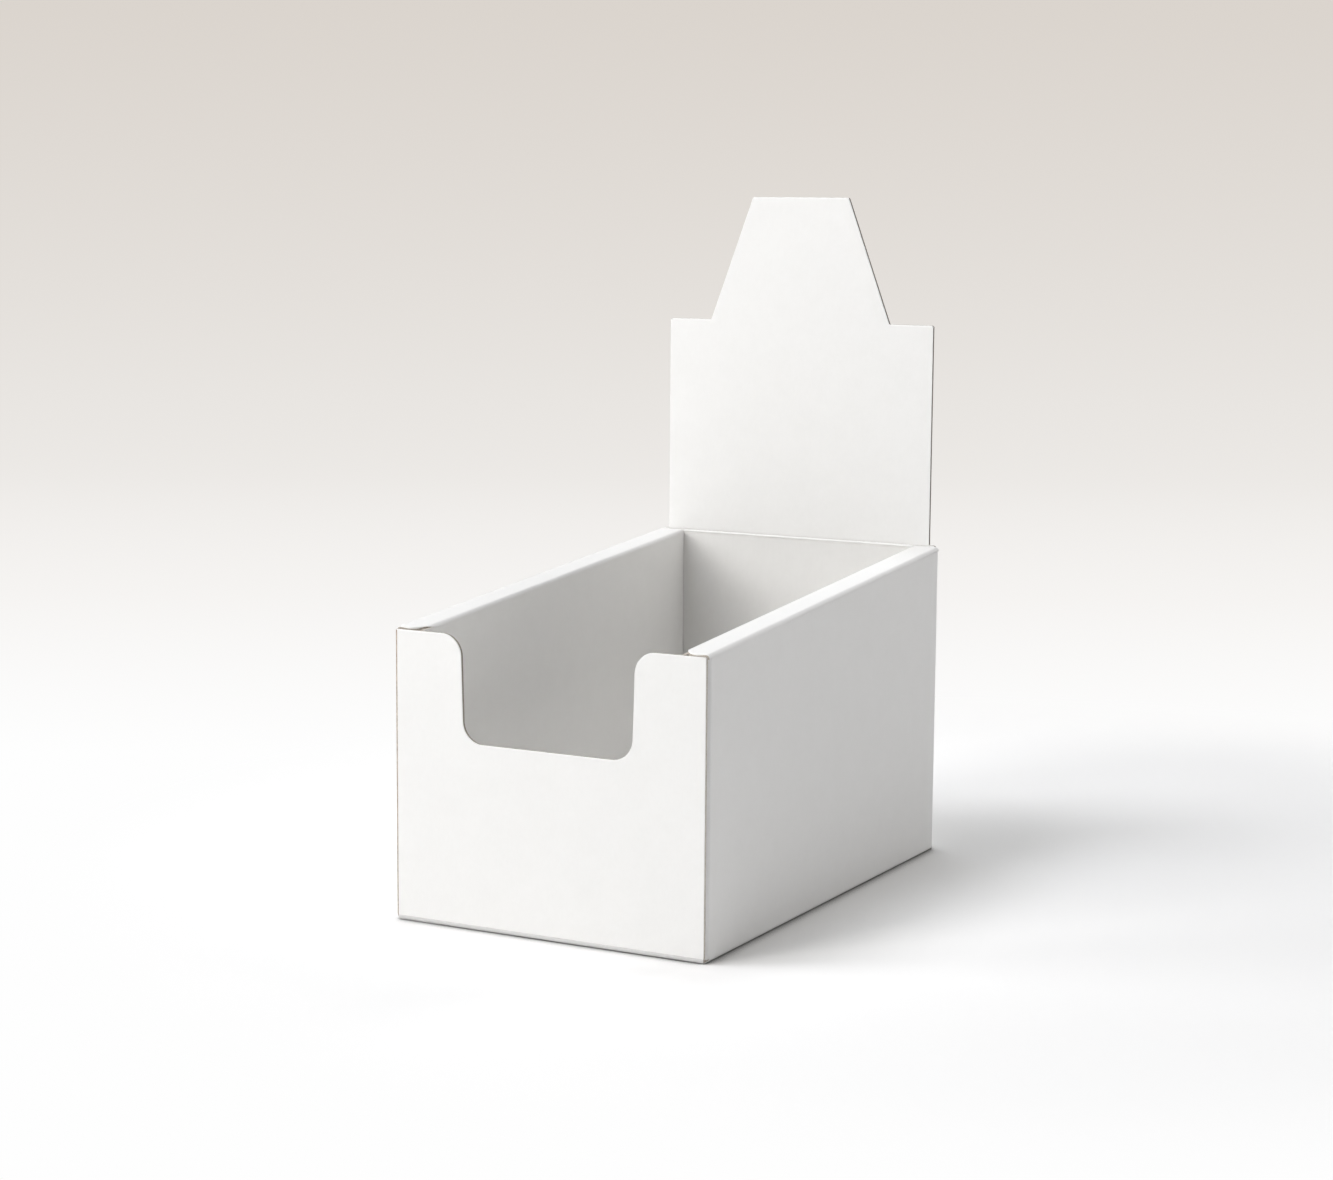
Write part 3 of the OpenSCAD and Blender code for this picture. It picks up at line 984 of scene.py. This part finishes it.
def sweepTone(tree, place, settings, heading):
    # painted shade: the tone deepens with the way ahead over the floor and up the sweep, as the
    # light falls off there
    turned = tree.nodes.new("ShaderNodeMapping")
    turned.inputs["Rotation"].default_value = (0, 0, -math.radians(heading))
    tree.links.new(place, turned.inputs["Vector"])
    parts = tree.nodes.new("ShaderNodeSeparateXYZ")
    tree.links.new(turned.outputs["Vector"], parts.inputs["Vector"])
    ahead = combined(tree, "ADD", parts.outputs["Y"], parts.outputs["Z"])
    share = spanned(tree, ahead, settings["toneStart"], settings["toneEnd"])
    return toned(tree, share, settings["tones"])


def sweepPaper(settings, heading):
    # lit paper round the tray that takes its shadow, and a plain tone beyond
    material, tree, shader = newMaterial("sweepPaper")
    shader.inputs["Roughness"].default_value = settings["rough"]
    shader.inputs["Specular IOR Level"].default_value = settings["specular"]
    place = tree.nodes.new("ShaderNodeTexCoord").outputs["Object"]
    seen = seenRays(tree)
    plain = sweepTone(tree, place, settings, heading)
    shaded = multiplied(tree, plain, settings["seenTone"])
    shaded = multiplied(tree, shaded, contactShade(tree, settings))
    tone = tree.nodes.new("ShaderNodeMix")
    tone.data_type = "RGBA"
    tone.inputs["A"].default_value = (*settings["litTone"], 1)
    tree.links.new(shaded, tone.inputs["B"])
    tree.links.new(seen, tone.inputs["Factor"])
    tree.links.new(tone.outputs["Result"], shader.inputs["Base Color"])

    glow = tree.nodes.new("ShaderNodeEmission")
    tree.links.new(plain, glow.inputs["Color"])
    reach = tree.nodes.new("ShaderNodeVectorMath")
    reach.operation = "DISTANCE"
    reach.inputs[1].default_value = settings["litMiddle"]
    tree.links.new(place, reach.inputs[0])
    away = spanned(tree, reach.outputs["Value"], settings["nearRadius"], settings["farRadius"],
                   smooth=True)
    mixed = tree.nodes.new("ShaderNodeMixShader")
    tree.links.new(combined(tree, "MULTIPLY", away, seen), mixed.inputs["Fac"])
    tree.links.new(shader.outputs["BSDF"], mixed.inputs[1])
    tree.links.new(glow.outputs["Emission"], mixed.inputs[2])
    output = next(n for n in tree.nodes if n.type == "OUTPUT_MATERIAL")
    tree.links.new(mixed.outputs["Shader"], output.inputs["Surface"])
    return material


def makeSweep(settings, heading):
    bm = bmesh.new()
    side, start, radius = -settings["halfWidth"], settings["turnStart"], settings["turnRadius"]
    last = drawnTo(bm, bm.verts.new((side, settings["front"], 0)), (side, start, 0))
    last = spun(bm, [last], (0, start, radius), (1, 0, 0), 90, settings["turnSteps"])[0]
    drawnTo(bm, last, (side, start + radius, settings["top"]))
    made = bmesh.ops.extrude_edge_only(bm, edges=bm.edges[:])
    for vert in vertsOf(made["geom"]):
        vert.co.x = settings["halfWidth"]
    turn = Matrix.Rotation(math.radians(heading), 3, "Z")
    bmesh.ops.rotate(bm, cent=(0, 0, 0), matrix=turn, verts=bm.verts)
    bmesh.ops.recalc_face_normals(bm, faces=bm.faces[:])
    mesh = bpy.data.meshes.new("sweep")
    bm.to_mesh(mesh)
    bm.free()
    mesh.shade_smooth()
    piece = bpy.data.objects.new("sweep", mesh)
    bpy.context.scene.collection.objects.link(piece)
    mesh.materials.append(sweepPaper(settings, heading))


makeSweep(sweep, cameraSettings["turn"])

# soft studio light from square panels round the tray, all at one distance
lamps = {
    "distance": 2.2,
    "size": 0.7,
    "aim": (0, 0, 0.08),
    "panels": {           # degrees round from +X, degrees up, watts, colour
        "frontLeft": (243, 22, 19.6, (1.0, 0.993, 0.978)),
        "sideLeft": (210, 22, 12.1, (1.0, 1.0, 0.995)),
        "highLeft": (210, 66, 14.6, (0.95, 0.962, 1.0)),
        "highFront": (240, 66, 5.6, (0.975, 0.975, 1.0)),
        "backRight": (60, 30, 12.9, (1.0, 0.99, 0.985)),
        "overhead": (118, 76, 11.4, (0.94, 0.97, 1.0)),
        "lowRight": (346, 12, 4.75, (1.0, 0.99, 0.985)),
    },
    "worldSeen": (0.982, 0.980, 0.978),   # what the camera and gloss see past the sweep
}


def makeLamps(settings):
    aim = Vector(settings["aim"])
    for name, (around, up, power, colour) in settings["panels"].items():
        data = bpy.data.lights.new(name, "AREA")
        data.shape = "SQUARE"
        data.size = settings["size"]
        data.energy = power
        data.color = colour
        lamp = bpy.data.objects.new(name, data)
        around, up = math.radians(around), math.radians(up)
        level = math.cos(up)
        towards = Vector((level * math.cos(around), level * math.sin(around), math.sin(up)))
        place = settings["distance"] * towards
        turn = (aim - place).to_track_quat("-Z", "Y")
        lamp.matrix_world = Matrix.Translation(place) @ turn.to_matrix().to_4x4()
        bpy.context.scene.collection.objects.link(lamp)
    world = bpy.data.worlds.new("studio")
    world.use_nodes = True
    background = world.node_tree.nodes["Background"]
    background.inputs["Color"].default_value = (*settings["worldSeen"], 1)
    world.node_tree.links.new(seenRays(world.node_tree), background.inputs["Strength"])
    bpy.context.scene.world = world


makeLamps(lamps)
bpy.context.scene.view_settings.view_transform = "Standard"
print("stage and lamps made")
